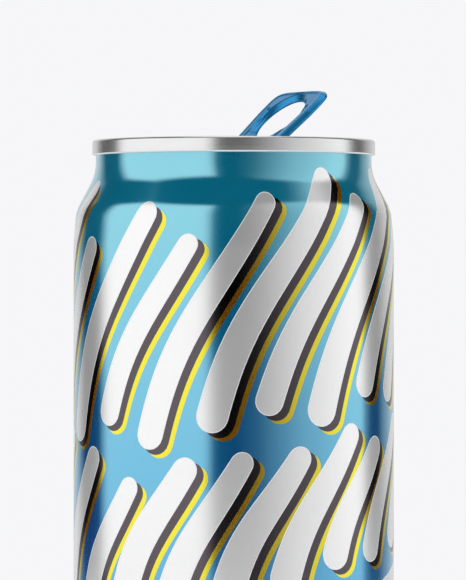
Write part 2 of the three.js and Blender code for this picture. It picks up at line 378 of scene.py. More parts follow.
def make_world():
    """Light by direction: what surfaces reflect, an even fill for matt ones, and a plain backdrop."""
    world = bpy.data.worlds.new("studio")
    world.use_nodes = True
    bpy.context.scene.world = world
    nodes = Nodes(world.node_tree)
    ray = nodes.add("TexCoord").outputs["Generated"]

    def along(direction):
        """How far a ray points in a direction."""
        node = nodes.add("VectorMath", {"operation": "DOT_PRODUCT"})
        nodes.feed(node, "0", ray)
        nodes.feed(node, "1", direction)
        return node.outputs["Value"]

    def on_ramp(radians, half_span):
        """The shader's angle_place, for an angle in radians."""
        scaled = nodes.math("DIVIDE", radians, 2 * math.radians(half_span))
        return nodes.math("ADD", scaled, 0.5)

    rightward, outward = along(toward(CAMERA_AZIMUTH + 90)), along(toward(CAMERA_AZIMUTH))
    azimuth = on_ramp(nodes.math("ARCTAN2", rightward, outward), 180)
    elevation = on_ramp(nodes.math("ARCSINE", along((0, 0, 1))), 90)
    ring = nodes.ramp(azimuth, [(angle_place(a, 180), v) for a, v in STUDIO_RING])
    top_edge = nodes.ramp(azimuth, [(angle_place(a, 180), angle_place(e, 90)) for a, e in TOP_EDGE])
    below_edge = nodes.math("MULTIPLY", nodes.math("SUBTRACT", top_edge, elevation), 180 / EDGE_SOFTNESS)
    wall_share = nodes.math("ADD", below_edge, 0.5, clamp=True)
    overhead = nodes.ramp(elevation, [(angle_place(a, 90), v) for a, v in OVERHEAD])
    walls = nodes.mix(1.0, ring, wall_share, "MULTIPLY")
    reflected = nodes.mix(1.0, walls, overhead, "LIGHTEN")
    path = nodes.add("LightPath")
    lit = nodes.mix(path.outputs["Is Diffuse Ray"], reflected, (FILL, FILL, FILL))
    seen = nodes.mix(path.outputs["Is Camera Ray"], lit, BACKGROUND)
    background = nodes.add("Background", Color=seen)
    nodes.add("OutputWorld", Surface=background.outputs[0])


bpy.context.scene.view_settings.view_transform = "Standard"
bpy.context.scene.view_settings.look = "None"
make_world()


# ---------------- outlines

def corner_arc(before, corner, after, step):
    """One corner of an outline, rounded by the fillet radius that follows its place."""
    at = Vector(corner[:2])
    fillet = corner[2] if len(corner) > 2 else 0
    if not fillet:
        return [at]
    back = (Vector(before[:2]) - at).normalized()
    ahead = (Vector(after[:2]) - at).normalized()
    half = back.angle(ahead) / 2
    centre = at + (back + ahead).normalized() * (fillet / math.sin(half))
    start = at + back * (fillet / math.tan(half)) - centre
    sweep = math.pi - 2 * half
    turn = -sweep if back.cross(ahead) > 0 else sweep
    count = max(1, round(sweep / math.radians(step)))
    return [centre + Matrix.Rotation(turn * i / count, 2) @ start for i in range(count + 1)]


def without_repeats(points):
    """The points that lie apart from the one before them."""
    kept = points[:1]
    for point in points[1:]:
        if (point - kept[-1]).length > 1e-5:
            kept.append(point)
    return kept


def open_path(corners, step):
    """Points through (x, y, fillet) corners, with arcs in steps of some degrees."""
    path = [Vector(corners[0][:2])]
    for before, corner, after in zip(corners, corners[1:], corners[2:]):
        path += corner_arc(before, corner, after, step)
    return without_repeats(path + [Vector(corners[-1][:2])])


def resampled(path, spacing, closed=False):
    """The same outline with points no further apart than a spacing."""
    dense = []
    for a, b in zip(path, path[1:] + path[:1] if closed else path[1:]):
        count = max(1, math.ceil((b - a).length / spacing))
        dense += [a.lerp(b, i / count) for i in range(count)]
    return dense if closed else dense + [path[-1]]


def as_array(path):
    return np.array([tuple(point) for point in path])


def offset_path(path, distance):
    """An open path moved to its left, with mitred corners; a point on the axis stays on it."""
    moved = []
    for i, at in enumerate(path):
        arriving = (at - path[i - 1]).normalized() if i else (path[1] - at).normalized()
        leaving = (path[i + 1] - at).normalized() if i + 1 < len(path) else arriving
        across = (arriving + leaving).normalized()
        reach = distance / across.dot(arriving)
        shifted = at + Vector((-across.y, across.x)) * reach
        moved.append(Vector((0, at.y + distance)) if at.x == 0 else shifted)
    return moved


def ellipse(half_width, y, half_length, count):
    """An ellipse about x = 0."""
    turns = np.linspace(0, 2 * math.pi, count, endpoint=False)
    return np.column_stack([half_width * np.cos(turns), y + half_length * np.sin(turns)])


def closed_outline(corners, spacing, step=5):
    """Closed outline of (x, y, fillet) corners, as an array of points at most a spacing apart."""
    path = []
    for i, corner in enumerate(corners):
        path += corner_arc(corners[i - 1], corner, corners[(i + 1) % len(corners)], step)
    return as_array(resampled(without_repeats(path), spacing, closed=True))


def mirrored(corners):
    """Corners of one half of an outline, followed by those of the other half."""
    return corners + [(-x, *rest) for x, *rest in corners[::-1]]


def rounded_window(rear, front, half_width, fillet):
    """A rectangle about x = 0 with rounded corners."""
    corners = [(-half_width, front, fillet), (half_width, front, fillet),
               (half_width, rear, fillet), (-half_width, rear, fillet)]
    return closed_outline(corners, 0.25, step=8)


# ---------------- mesh helpers

def add_object(name, vertices, faces, materials, face_materials=None, sharp=35):
    """A smooth shaded object; vertices in millimetres."""
    mesh = bpy.data.meshes.new(name)
    mesh.from_pydata([tuple(value * MM for value in vertex) for vertex in vertices], [], faces)
    for material in materials:
        mesh.materials.append(material)
    if face_materials is not None:
        mesh.polygons.foreach_set("material_index", face_materials)
    mesh.polygons.foreach_set("use_smooth", [True] * len(mesh.polygons))
    if sharp:
        mesh.set_sharp_from_angle(angle=math.radians(sharp))
    mesh.update()
    thing = bpy.data.objects.new(name, mesh)
    bpy.context.collection.objects.link(thing)
    return thing


def lathe(profile, segments, start=0.0):
    """Vertices and faces of a profile of (radius, height) points, turned about Z."""
    vertices, rows = [], []
    for radius, height in profile:
        if radius < 1e-6:
            rows.append([len(vertices)] * segments)
            vertices.append((0, 0, height))
            continue
        rows.append(list(range(len(vertices), len(vertices) + segments)))
        for i in range(segments):
            turn = start + 2 * math.pi * i / segments
            vertices.append((radius * math.sin(turn), -radius * math.cos(turn), height))
    faces = []
    for low, high in zip(rows, rows[1:]):
        for i in range(segments):
            j = (i + 1) % segments
            ring = [low[i], low[j], high[j], high[i]]
            face = [v for k, v in enumerate(ring) if v != ring[k - 1]]
            if len(face) > 2:
                faces.append(face)
    return vertices, faces


def distances(points, loop):
    """Distance of each point (n by 2) from a closed outline (m by 2)."""
    best = np.full(len(points), np.inf)
    for a, b in zip(loop, np.roll(loop, -1, axis=0)):
        along = b - a
        share = np.clip(((points - a) @ along) / max(along @ along, 1e-12), 0, 1)
        best = np.minimum(best, np.linalg.norm(points - a - share[:, None] * along, axis=1))
    return best


def winding(points, loop):
    """How many times a closed outline goes round each point."""
    low, high = loop.min(axis=0), loop.max(axis=0)
    near = np.all((points >= low) & (points <= high), axis=1)
    x, y = points[near, 0], points[near, 1]
    turns = np.zeros(len(x), dtype=int)
    for (ax, ay), (bx, by) in zip(loop, np.roll(loop, -1, axis=0)):
        side = (bx - ax) * (y - ay) - (x - ax) * (by - ay)
        turns += (ay <= y) & (by > y) & (side > 0)
        turns -= (ay > y) & (by <= y) & (side < 0)
    result = np.zeros(len(points), dtype=int)
    result[near] = turns
    return result


def inset_loop(loop, distance):
    """A closed anticlockwise outline moved inwards; a negative distance moves it out."""
    along = np.roll(loop, -1, axis=0) - np.roll(loop, 1, axis=0)
    along /= np.linalg.norm(along, axis=1)[:, None]
    return loop + np.column_stack([-along[:, 1], along[:, 0]]) * distance


def triangulate(loops, extra):
    """Triangles over a set of closed constraint outlines and loose points: points and index triples."""
    points, edges = [], []
    for loop in loops:
        first, count = len(points), len(loop)
        points += [Vector(point) for point in loop]
        edges += [(first + i, first + (i + 1) % count) for i in range(count)]
    points += [Vector(point) for point in extra]
    flat, _, faces, _, _, _ = delaunay_2d_cdt(points, edges, [], 0, 1e-7)
    return np.array([tuple(point) for point in flat]), np.array([list(face) for face in faces])


def only_used(faces, points):
    """Faces renumbered for the points that they use, with those points."""
    used = np.unique(faces)
    renumber = np.full(len(points), -1)
    renumber[used] = np.arange(len(used))
    return renumber[faces], points[used]


def fill_points(low, high, spacing, loops, margin):
    """A loose grid of points that keeps a margin from every outline."""
    xs = np.arange(low[0], high[0], spacing)
    ys = np.arange(low[1], high[1], spacing * 0.866)
    grid = np.array([(x + spacing / 2 * (row % 2), y) for row, y in enumerate(ys) for x in xs])
    keep = np.ones(len(grid), dtype=bool)
    for loop in loops:
        keep &= distances(grid, loop) > margin
    return grid[keep]


def relief_plate(outer, holes, rings, spacing, top, bottom, features=()):
    """A closed plate over a flat outline with holes, its faces raised by two height functions.

    rings are distances from each edge at which extra points follow it.
    """
    loops = [outer, *holes]
    extra = [inset_loop(outer, gap) for gap in rings]
    extra += [inset_loop(hole, -gap) for hole in holes for gap in rings]
    extra += [np.array(line) for line in features]
    low, high = outer.min(axis=0), outer.max(axis=0)
    fill = fill_points(low, high, spacing, loops, max(rings) + spacing / 2)
    flat, faces = triangulate(loops, np.vstack([*extra, fill]))
    middle = flat[faces].mean(axis=1)
    inside = winding(middle, outer) != 0
    for hole in holes:
        inside &= winding(middle, hole) == 0
    faces, flat = only_used(faces[inside], flat)
    gaps = [distances(flat, loop) for loop in loops]
    upper = np.column_stack([flat, top(flat, gaps)])
    lower = np.column_stack([flat, bottom(flat, gaps)])
    return join_sheets(upper, lower, faces)


def join_sheets(upper, lower, faces):
    """Two height fields over the same triangles, closed along their open edges."""
    count = len(upper)
    same = np.abs(upper[:, 2] - lower[:, 2]) < 1e-6
    below = np.where(same, np.arange(count), np.arange(count) + count)
    edges = dict.fromkeys(edge for a, b, c in faces.tolist() for edge in ((a, b), (b, c), (c, a)))
    walls = []
    for a, b in edges:
        if (b, a) not in edges:
            wall = [b, a, int(below[a]), int(below[b])]
            wall = [v for k, v in enumerate(wall) if v != wall[k - 1]]
            if len(wall) > 2:
                walls.append(wall)
    everything = faces.tolist() + below[faces][:, ::-1].tolist() + walls
    vertices = np.vstack([upper, lower])
    used = sorted({v for face in everything for v in face})
    number = {v: i for i, v in enumerate(used)}
    return vertices[used], [[number[v] for v in face] for face in everything]


def smooth_step(value):
    share = np.clip(value, 0, 1)
    return share * share * (3 - 2 * share)


def ridge(distance, half_width, height):
    """Rounded bead seen across: full height on its line, nothing at its half width."""
    return height * smooth_step(1 - distance / half_width)


def edge_round(gap, radius):
    """Quarter-round edge: nothing at the edge, one beyond the radius."""
    share = np.clip(1 - gap / radius, 0, 1)
    return np.sqrt(1 - share * share)


def hinged(vertices, hinge, degrees, axis):
    """Points turned about an axis through the origin, then moved to their hinge."""
    place = Matrix.Translation(hinge) @ Matrix.Rotation(math.radians(degrees), 4, axis)
    return [tuple(place @ Vector(vertex)) for vertex in vertices]


def weld(thing, reach=0.00001, sharp=40):
    """Joins points that meet, turns all faces outwards and marks sharp edges again."""
    work = bmesh.new()
    work.from_mesh(thing.data)
    bmesh.ops.remove_doubles(work, verts=work.verts, dist=reach)
    bmesh.ops.recalc_face_normals(work, faces=work.faces)
    work.to_mesh(thing.data)
    work.free()
    thing.data.set_sharp_from_angle(angle=math.radians(sharp))


def finish_piece(piece, body, slot, *nodes):
    """Says which body a piece rides on and hides the CAD nodes that it stands for; its finish, slot, is
    not used.
    """
    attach(piece, body)
    if nodes:
        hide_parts(*nodes)


# ---------------- floor

FLOOR_RINGS = [900, 500, 200, 0]


def make_floor():
    """A round floor, in rings that widen outwards."""
    vertices, faces = lathe([(radius, 0) for radius in FLOOR_RINGS], 96)
    add_object("floor", vertices, faces, [pale_floor()])


make_floor()


# ---------------- label art

# Each brush stroke: foot along the wall and up it, length, widest half width, bend and slant in degrees.
# Along the wall counts from the side that faces the camera; the whole set repeats twice round the can.
REPEAT = math.pi * BODY_RADIUS
BEYOND = 2
STROKES = [
    (-46.0, 97, 35, 2.6, 1.3, 62),
    (-36.5, 92, 47, 2.85, 2.1, 63),
    (-25.5, 95, 38, 2.55, 1.6, 61),
    (-16.0, 91, 50, 2.6, 2.2, 63),
    (-4.5, 94, 52, 2.85, 2.4, 62),
    (5.5, 97, 44, 2.55, 1.8, 61),
    (15.5, 95, 51, 2.95, 2.4, 62),
    (26.0, 100, 39, 2.65, 1.6, 60),
    (35.5, 99, 44, 2.6, 1.9, 62),
    (-41.5, 66, 28, 2.9, 1.3, 63),
    (-31.5, 62, 27, 2.7, 1.4, 62),
    (-21.5, 64, 29, 3.1, 1.4, 61),
    (-12.5, 61, 33, 2.8, 1.6, 63),
    (-1.5, 65, 30, 3.0, 1.4, 61),
    (8.5, 66, 33, 2.9, 1.6, 62),
    (18.5, 70, 26, 2.9, 1.3, 61),
    (28.0, 71, 29, 2.6, 1.4, 62),
    (38.0, 73, 24, 2.8, 1.2, 62),
    (-14.0, 54.5, 62, 2.8, -3.2, 14),
    (-46.0, 38, 43, 2.3, -2.2, 14),
    (-43.0, 20, 15, 2.0, 0.6, 62),
    (-34.0, 16, 23, 2.4, 1.0, 62),
    (-23.5, 18, 16, 2.0, 0.7, 61),
    (-12.0, 15, 21, 2.3, 1.0, 62),
    (-1.0, 17, 14, 2.0, 0.6, 61),
    (9.0, 15, 19, 2.3, 0.9, 62),
    (20.0, 17, 23, 2.1, 1.0, 62),
    (31.0, 16, 17, 2.3, 0.8, 61),
]
STROKE_STEPS = 34
# Width at the tip as a share of the widest
TIP_SHARE = 0.7
# How strongly the tip bends back the other way
S_BEND = 0.3
# Fine outline round each stroke, and how far the two shadow inks are printed to its lower right
EDGE_WIDTH = 0.16
DARK_SHIFT = np.array((1.2, -0.88))
YELLOW_SHIFT = np.array((1.95, -1.45))


def brush_half_width(share, length, widest):
    """Round at both ends and a little narrower towards the tip."""
    width = widest * (1 - (1 - TIP_SHARE) * share ** 1.5)
    from_end = min(share, 1 - share) * length
    return width * math.sqrt(1 - (1 - min(1.0, from_end / width)) ** 2)


def brush_stroke(stroke):
    """Closed outline round a stroke's bent centre line."""
    x, height, length, widest, bend, slant = stroke
    along = np.array((math.cos(math.radians(slant)), math.sin(math.radians(slant))))
    across = np.array((-along[1], along[0]))
    left, right = [], []
    for i in range(STROKE_STEPS + 1):
        share = 0.5 - 0.5 * math.cos(math.pi * i / STROKE_STEPS)
        sway = bend * (math.sin(math.pi * share) + S_BEND * math.sin(2 * math.pi * share))
        slope = math.cos(math.pi * share) + 2 * S_BEND * math.cos(2 * math.pi * share)
        turn = bend * math.pi * slope / length
        normal = (across - along * turn) / math.hypot(1, turn)
        centre = np.array((x, height)) + along * length * share + across * sway
        reach = brush_half_width(share, length, widest)
        left.append(centre + normal * reach)
        right.append(centre - normal * reach)
    return np.array(right + left[-2:0:-1])


def label_shapes():
    """The outline of every stroke, all the way round the can and a little beyond."""
    shapes = []
    for stroke in STROKES:
        outline = brush_stroke(stroke)
        for repeat in range(-2, 3):
            moved = outline + np.array((repeat * REPEAT, 0))
            if moved[:, 0].max() > -REPEAT - BEYOND and moved[:, 0].min() < REPEAT + BEYOND:
                shapes.append(moved)
    return shapes


# ---------------- body

# The print starts this high; below it the wall is bare
PRINT_START = 6.4
# Outer surface of the wall as (radius, height, fillet) corners
SEAM_OVER_NECK = 0.62
NECK_RADIUS = SEAM_RADIUS - SEAM_OVER_NECK
FOOT_CORNERS = [(22.35, 0.0), (23.75, 0.0, 0.7), (25.15, 2.6, 3.1), (BODY_RADIUS, 9.5, 6)]
NECK_CORNERS = [
    (BODY_RADIUS, RIM_TOP - 18.5, 15),
    (BODY_RADIUS - 0.5, RIM_TOP - 12.6, 7),
    (NECK_RADIUS, RIM_TOP - 6.1, 9),
    (NECK_RADIUS, RIM_TOP - 1.2),
]
# Dome of the base, inside the standing ring
DOME_EDGE = 21.85
DOME_FOOT = 2.6
DOME_TOP = 9.5
DOME_STEPS = 40
RING_INSIDE = (22.25, 0.0, 0.3)
# Wall inks in the order of their layers, then the bare metal
WALL_MATERIALS = [INK_BLUE, INK_YELLOW, INK_DARK, INK_EDGE, INK_SILVER, WALL_METAL]
BARE = WALL_MATERIALS.index(WALL_METAL)
# Columns and rows of the wall's mesh, with finer rows round the foot and from the shoulder up
WALL_AROUND = 288
ROW_HEIGHT = 1.9
LEAST_ROW_HEIGHT = 0.1
FOOT_TOP = 12.0
FOOT_ROW_HEIGHT = 0.5
SHOULDER_BELOW_RIM = 19.5
SHOULDER_ROW_HEIGHT = 0.35
# Points this close are one point; the offset keeps their cells clear of round numbers
MERGE = 0.001
MERGE_OFFSET = 0.37
# Angle round the can where the unrolled wall starts and ends, opposite the camera
WALL_SEAM = math.radians(CAMERA_AZIMUTH) - math.pi


def wall_profile(step, spacing):
    """The printed stretch of the wall's outer surface, as (radius, height) points."""
    dense = resampled(open_path(FOOT_CORNERS + NECK_CORNERS, step), spacing)
    start = next(i for i, point in enumerate(dense) if point.y >= PRINT_START)
    below, above = dense[start - 1], dense[start]
    share = (PRINT_START - below.y) / (above.y - below.y)
    return without_repeats([below.lerp(above, share), *dense[start:]])


def profile_tables(profile):
    """Distance along a profile, with its radius, height and outward normal at each point."""
    points = as_array(profile)
    steps = np.linalg.norm(np.diff(points, axis=0), axis=1)
    length = np.concatenate([[0], np.cumsum(steps)])
    slope = np.gradient(points, axis=0)
    slope /= np.linalg.norm(slope, axis=1)[:, None]
    return length, points, np.column_stack([slope[:, 1], -slope[:, 0]])


def label_layers(along_wall):
    """Outlines of the four inks on the unrolled wall, lowest first: each one covers those before it."""
    shapes = label_shapes()
    layers = [
        [shape + YELLOW_SHIFT for shape in shapes],
        [shape + DARK_SHIFT for shape in shapes],
        shapes,
        [inset_loop(shape, EDGE_WIDTH) for shape in shapes],
    ]
    return [[np.column_stack([loop[:, 0], along_wall(loop[:, 1])]) for loop in layer]
            for layer in layers]


def wall_rows(top, foot, shoulder):
    """Distances along the wall of the mesh's rows."""
    rows = np.linspace(0, top, round(top / ROW_HEIGHT) + 1)
    fine = [np.arange(shoulder, top, SHOULDER_ROW_HEIGHT), np.arange(0, foot, FOOT_ROW_HEIGHT)]
    rows = np.unique(np.concatenate([rows[(rows > foot) & (rows < shoulder)], *fine, [0, top]]))
    rows = np.concatenate([[0], rows[1:][np.diff(rows) > LEAST_ROW_HEIGHT]])
    rows[-1] = top
    return rows


def unrolled_wall(layers, rows):
    """Triangles of the unrolled wall, cut along every ink's outline, and the ink of each."""
    top = rows[-1]
    columns = np.linspace(-REPEAT, REPEAT, WALL_AROUND + 1)
    low = np.column_stack([columns, np.zeros_like(columns)])
    right = np.column_stack([np.full(len(rows), REPEAT), rows])
    border = np.vstack([low, right[1:], (low + (0, top))[::-1][1:], (right * (-1, 1))[::-1][1:-1]])
    loops = [loop for layer in layers for loop in layer]
    grid = np.array([(u, s) for s in rows[1:-1] for u in columns[1:-1]])
    flat, faces = triangulate([border, *loops], grid)
    middle = flat[faces].mean(axis=1)
    inside = (np.abs(middle[:, 0]) < REPEAT) & (middle[:, 1] > 0) & (middle[:, 1] < top)
    faces, middle = faces[inside], middle[inside]
    inks = np.zeros(len(faces), dtype=int)
    for number, layer in enumerate(layers, start=1):
        for loop in layer:
            inks[winding(middle, loop) != 0] = number
    faces, flat = only_used(faces, flat)
    return flat, faces, inks


def join_ends(flat, faces, inks):
    """The two ends of the unrolled wall meet behind the can, so the last column becomes the first."""
    wrapped = np.where(np.abs(flat[:, 0]) > REPEAT - MERGE, -REPEAT, flat[:, 0])
    cells = np.round(np.column_stack([wrapped, flat[:, 1]]) / MERGE + MERGE_OFFSET).astype(int)
    keys = {}
    same = np.array([keys.setdefault(tuple(cell), i) for i, cell in enumerate(cells.tolist())])
    faces = same[faces]
    whole = np.all(faces != np.roll(faces, 1, axis=1), axis=1)
    return np.column_stack([wrapped, flat[:, 1]]), faces[whole], inks[whole]


def printed_wall():
    """The wall's outer surface: points, normals, faces and the ink of each face."""
    length, points, normals = profile_tables(wall_profile(step=2, spacing=0.25))

    def along_wall(height):
        """Label heights are read on the wall, so the art keeps its size round the shoulder."""
        return np.interp(height, points[:, 1], length)

    rows = wall_rows(length[-1], along_wall(FOOT_TOP), along_wall(RIM_TOP - SHOULDER_BELOW_RIM))
    flat, faces, inks = join_ends(*unrolled_wall(label_layers(along_wall), rows))

    turn = flat[:, 0] / BODY_RADIUS + math.radians(CAMERA_AZIMUTH)
    radius, height, out, up = (
        np.interp(flat[:, 1], length, values) for values in (*points.T, *normals.T))
    tilt = np.hypot(out, up)
    outer = np.column_stack([radius * np.sin(turn), -radius * np.cos(turn), height])
    outer_normals = np.column_stack([out * np.sin(turn), -out * np.cos(turn), up]) / tilt[:, None]
    return outer, outer_normals, faces, inks


def border_ring(points, faces, height):
    """Points of the wall's top or bottom edge, in order round the can from the seam."""
    def angle(i):
        return (math.atan2(points[i][0], -points[i][1]) - WALL_SEAM + 1e-6) % (2 * math.pi)

    ring = [i for i in np.unique(faces).tolist() if abs(points[i][2] - height) < 1e-6]
    return sorted(ring, key=angle)


def body_wall():
    """Printed wall with its bare inner face, as one closed shell."""
    outer, outer_normals, outer_faces, inks = printed_wall()
    inner_path = offset_path(wall_profile(step=5, spacing=4.0), WALL)
    inner, inner_faces = lathe(inner_path[::-1], WALL_AROUND, WALL_SEAM)
    first = len(outer)
    faces = outer_faces.tolist() + [[v + first for v in face] for face in inner_faces]
    kinds = inks.tolist() + [BARE] * len(inner_faces)

    # bare strips that close the shell at the top and at the foot
    top_ring = border_ring(outer, outer_faces, outer[:, 2].max())
    foot_ring = border_ring(outer, outer_faces, outer[:, 2].min())
    last = first + len(inner) - WALL_AROUND
    for ring, other, flip in ((top_ring, first, False), (foot_ring, last, True)):
        for i in range(WALL_AROUND):
            j = (i + 1) % WALL_AROUND
            quad = [ring[i], ring[j], other + j, other + i]
            faces.append(quad[::-1] if flip else quad)
            kinds.append(BARE)

    inner = np.array(inner)
    inward = -inner[:, :2] / np.linalg.norm(inner[:, :2], axis=1)[:, None]
    inner_normals = np.column_stack([inward, np.zeros(len(inner))])
    wall = add_object("body_wall", np.vstack([outer, inner]), faces, WALL_MATERIALS, kinds, sharp=None)
    normals = np.vstack([outer_normals, inner_normals])
    wall.data.normals_split_custom_set_from_vertices([tuple(normal) for normal in normals])
    finish_piece(wall, "can", "printed_body", "can_body")


def body_foot():
    """Unprinted foot: the standing ring, its chime and the dome that bows up inside it."""
    rise = DOME_TOP - DOME_FOOT
    sphere = (DOME_EDGE ** 2 + rise ** 2) / (2 * rise)
    reaches = [DOME_EDGE * i / DOME_STEPS for i in range(DOME_STEPS)]
    dome = [(reach, DOME_TOP - sphere + math.sqrt(sphere ** 2 - reach ** 2)) for reach in reaches]
    corners = [*dome, (DOME_EDGE, DOME_FOOT, 0.7), RING_INSIDE, *FOOT_CORNERS[1:], NECK_CORNERS[0]]
    path = open_path(corners, step=6)
    outer = [point for point in path if point.y < PRINT_START or point.x < DOME_EDGE]
    wall = wall_profile(step=2, spacing=0.25)
    outer.append(wall[0])
    inner = offset_path(outer[:-1], WALL) + [offset_path(wall[:2], WALL)[0]]
    vertices, faces = lathe(outer + inner[::-1], SEGMENTS)
    foot = add_object("body_foot", vertices, faces, [WALL_METAL])
    finish_piece(foot, "can", "bare_aluminium", "can_body")


body_wall()
body_foot()


# ---------------- lid

# Outlines as (half width, y, fillet) corners on one side, and how the mouth's move when it is pulled in
MOUTH_CORNERS = [(6.4, -18.9, 7.0), (10.2, -12.5, 8.0), (10.2, -6.0, 8.0), (7.6, 0.75, 2.5)]
MOUTH_PULL = [(0, 1), (-1, 0), (-1, 0), (-1, -1)]
RECESS_CORNERS = [(8.2, -20.3, 8.5), (12.4, -11.5, 9), (11.6, 4, 12), (9.8, 30)]
# Step round the recess, which fades out before the panel's edge
STEP_HEIGHT = 0.35
STEP_WIDTH = 0.7
EDGE_MARGIN = 0.1
EDGE_FADE = 0.7
# Finger well under the tab's heel, with its slope as a share of its radius
WELL_Y = 14.4
WELL_RADIUS = 6.3
WELL_STRETCH = 1.15
WELL_DEPTH = 0.5
WELL_SLOPE = 0.4
SIDE_BEADS = [((9.6, 2.2), (9.45, 6.8)), ((-9.6, 2.2), (-9.45, 6.8))]
SIDE_BEAD_HALF = 0.75
SIDE_BEAD_HEIGHT = 0.28
# Countersink as (radius, fillet) corners: the panel's edge, then the bottom of the groove
COUNTERSINK_EDGE = (21.35, 0.28)
COUNTERSINK_BOTTOM = [(21.6, 0.45), (22.6, 0.45)]
COUNTERSINK_DEPTH = 7.5
# Double seam, with its inner layers' middles inwards from that of its outer wall
COVER_HOOK_INSET = 0.42
CHUCK_WALL_INSET = 0.86
SEAM_HEIGHT = 2.75
HOOK_BELOW_RIM = 0.95
# Beyond this radius the lid is polished by the seaming rolls
TURNED_RADIUS = 21.2
RIVET_Y = 3.75


def mouth_outline(gap=0.0):
    """The mouth, pulled in by a gap for the panel that closes it; anticlockwise."""
    corners = [(x + gap * across, y + gap * back, fillet)
               for (x, y, fillet), (across, back) in zip(MOUTH_CORNERS, MOUTH_PULL)]
    return closed_outline(mirrored(corners), 0.45)


def recess_outline():
    """Edge of the sunk part of the lid that holds the mouth and the tab; it runs out at the heel."""
    return closed_outline(mirrored(RECESS_CORNERS), 0.32)


def capsule(foot, head, reach):
    """Closed outline at a distance round a straight line."""
    foot, head = np.array(foot), np.array(head)
    heading = math.atan2(*(head - foot)[::-1])
    outline = []
    for end, first in ((head, heading - math.pi / 2), (foot, heading + math.pi / 2)):
        outline += [Vector(end + reach * np.array((math.cos(first + turn), math.sin(first + turn))))
                    for turn in np.linspace(0, math.pi, 9)]
    return as_array(resampled(outline, 0.2, closed=True))


def lid_features():
    """Lines for the lid's mesh to follow: the recess's step, the side beads and the finger well."""
    recess = recess_outline()
    lines = [inset_loop(recess, -STEP_WIDTH * share) for share in (-0.1, 0.12, 0.3, 0.5, 0.7, 0.88, 1.1)]
    for foot, head in SIDE_BEADS:
        lines += [capsule(foot, head, SIDE_BEAD_HALF * share) for share in (0.05, 0.3, 0.55, 0.8, 1.05)]
    for share in (0.6, 0.68, 0.76, 0.84, 0.92, 1.0):
        reach = WELL_RADIUS * share
        lines.append(ellipse(reach * WELL_STRETCH, WELL_Y, reach, 72))
    return lines


def lid_top(flat, _):
    """Height of the lid's upper face."""
    outside = winding(flat, recess_outline()) == 0
    edge = distances(flat, recess_outline())
    from_rim = PANEL_RADIUS - np.linalg.norm(flat, axis=1)
    raised = np.where(outside, STEP_HEIGHT * smooth_step(edge / STEP_WIDTH), 0)
    raised = raised * smooth_step((from_rim - EDGE_MARGIN) / EDGE_FADE)
    reach = np.hypot(flat[:, 0] / WELL_STRETCH, flat[:, 1] - WELL_Y)
    sunk = WELL_DEPTH * smooth_step((WELL_RADIUS - reach) / (WELL_SLOPE * WELL_RADIUS))
    bead = np.zeros(len(flat))
    for line in SIDE_BEADS:
        bead = np.maximum(bead, ridge(distances(flat, np.array(line)), SIDE_BEAD_HALF, SIDE_BEAD_HEIGHT))
    return PANEL_TOP + raised - sunk + bead


def lid_rim_path():
    """Middle of the lid's sheet from the panel's edge through the countersink and over the rim."""
    half = WALL / 2
    seam_wall = SEAM_RADIUS - half
    cover_hook = seam_wall - COVER_HOOK_INSET
    chuck_top = seam_wall - CHUCK_WALL_INSET
    rim = (seam_wall - chuck_top) / 2
    hook = (seam_wall - cover_hook) / 2
    bottom = RIM_TOP - COUNTERSINK_DEPTH + half
    seam_foot = RIM_TOP - SEAM_HEIGHT + half
    edge_radius, edge_fillet = COUNTERSINK_EDGE
    return open_path([
        (PANEL_RADIUS, PANEL_TOP - half),
        (edge_radius, PANEL_TOP - half, edge_fillet),
        *[(radius, bottom, fillet) for radius, fillet in COUNTERSINK_BOTTOM],
        (chuck_top, RIM_TOP - SEAM_HEIGHT, 2.0),
        (chuck_top, RIM_TOP - half, rim),
        (seam_wall, RIM_TOP - half, rim),
        (seam_wall, seam_foot, hook),
        (cover_hook, seam_foot, hook),
        (cover_hook, RIM_TOP - HOOK_BELOW_RIM),
    ], step=9)


def lid():
    """The whole end: panel with its open mouth, countersink, rim and the seam's outer layers."""
    turns = np.linspace(0, 2 * math.pi, SEGMENTS, endpoint=False)
    rim = np.column_stack([PANEL_RADIUS * np.sin(turns), -PANEL_RADIUS * np.cos(turns)])
    mouth = mouth_outline()
    vertices, faces = relief_plate(
        rim, [mouth], (0.12, 0.3, 0.5, 0.68, 0.85), spacing=0.42,
        top=lid_top, bottom=lambda flat, gaps: lid_top(flat, gaps) - WALL, features=lid_features())
    # the panel's outer wall goes: the countersink and the rim carry on from there
    radius = np.linalg.norm(np.asarray(vertices)[:, :2], axis=1)
    at_rim = set(np.nonzero(radius > PANEL_RADIUS - 1e-4)[0].tolist())
    faces = [face for face in faces if not set(face) <= at_rim]
    path = lid_rim_path()
    profile = offset_path(path, -WALL / 2) + offset_path(path, WALL / 2)[::-1]
    profile[0] = Vector((PANEL_RADIUS, PANEL_TOP - WALL))
    profile[-1] = Vector((PANEL_RADIUS, PANEL_TOP))
    around, around_faces = lathe(profile, SEGMENTS)
    first = len(vertices)
    faces += [[v + first for v in face] for face in around_faces]
    everything = np.vstack([vertices, around])
    radius = np.linalg.norm(everything[:, :2], axis=1)
    kinds = [int(radius[face].min() > TURNED_RADIUS) for face in faces]
    whole = add_object("lid", everything, faces, [LID_METAL, SEAM_METAL], kinds, sharp=None)
    weld(whole)
    finish_piece(whole, "can", "bare_aluminium", "can_end")


lid()


# ---------------- tear panel, rivet and tongue

FLAP_GAP = 0.35
FLAP_BEAD_INSET = 1.5
FLAP_BEAD_HALF = 0.55
FLAP_BEAD_HEIGHT = 0.22
# Tongue under the rivet's head, above the panel: the middle of its sheet and half its thickness
TONGUE_LEVEL = 0.35
TONGUE_HALF = 0.25
TONGUE_HOLE_RADIUS = 1.56


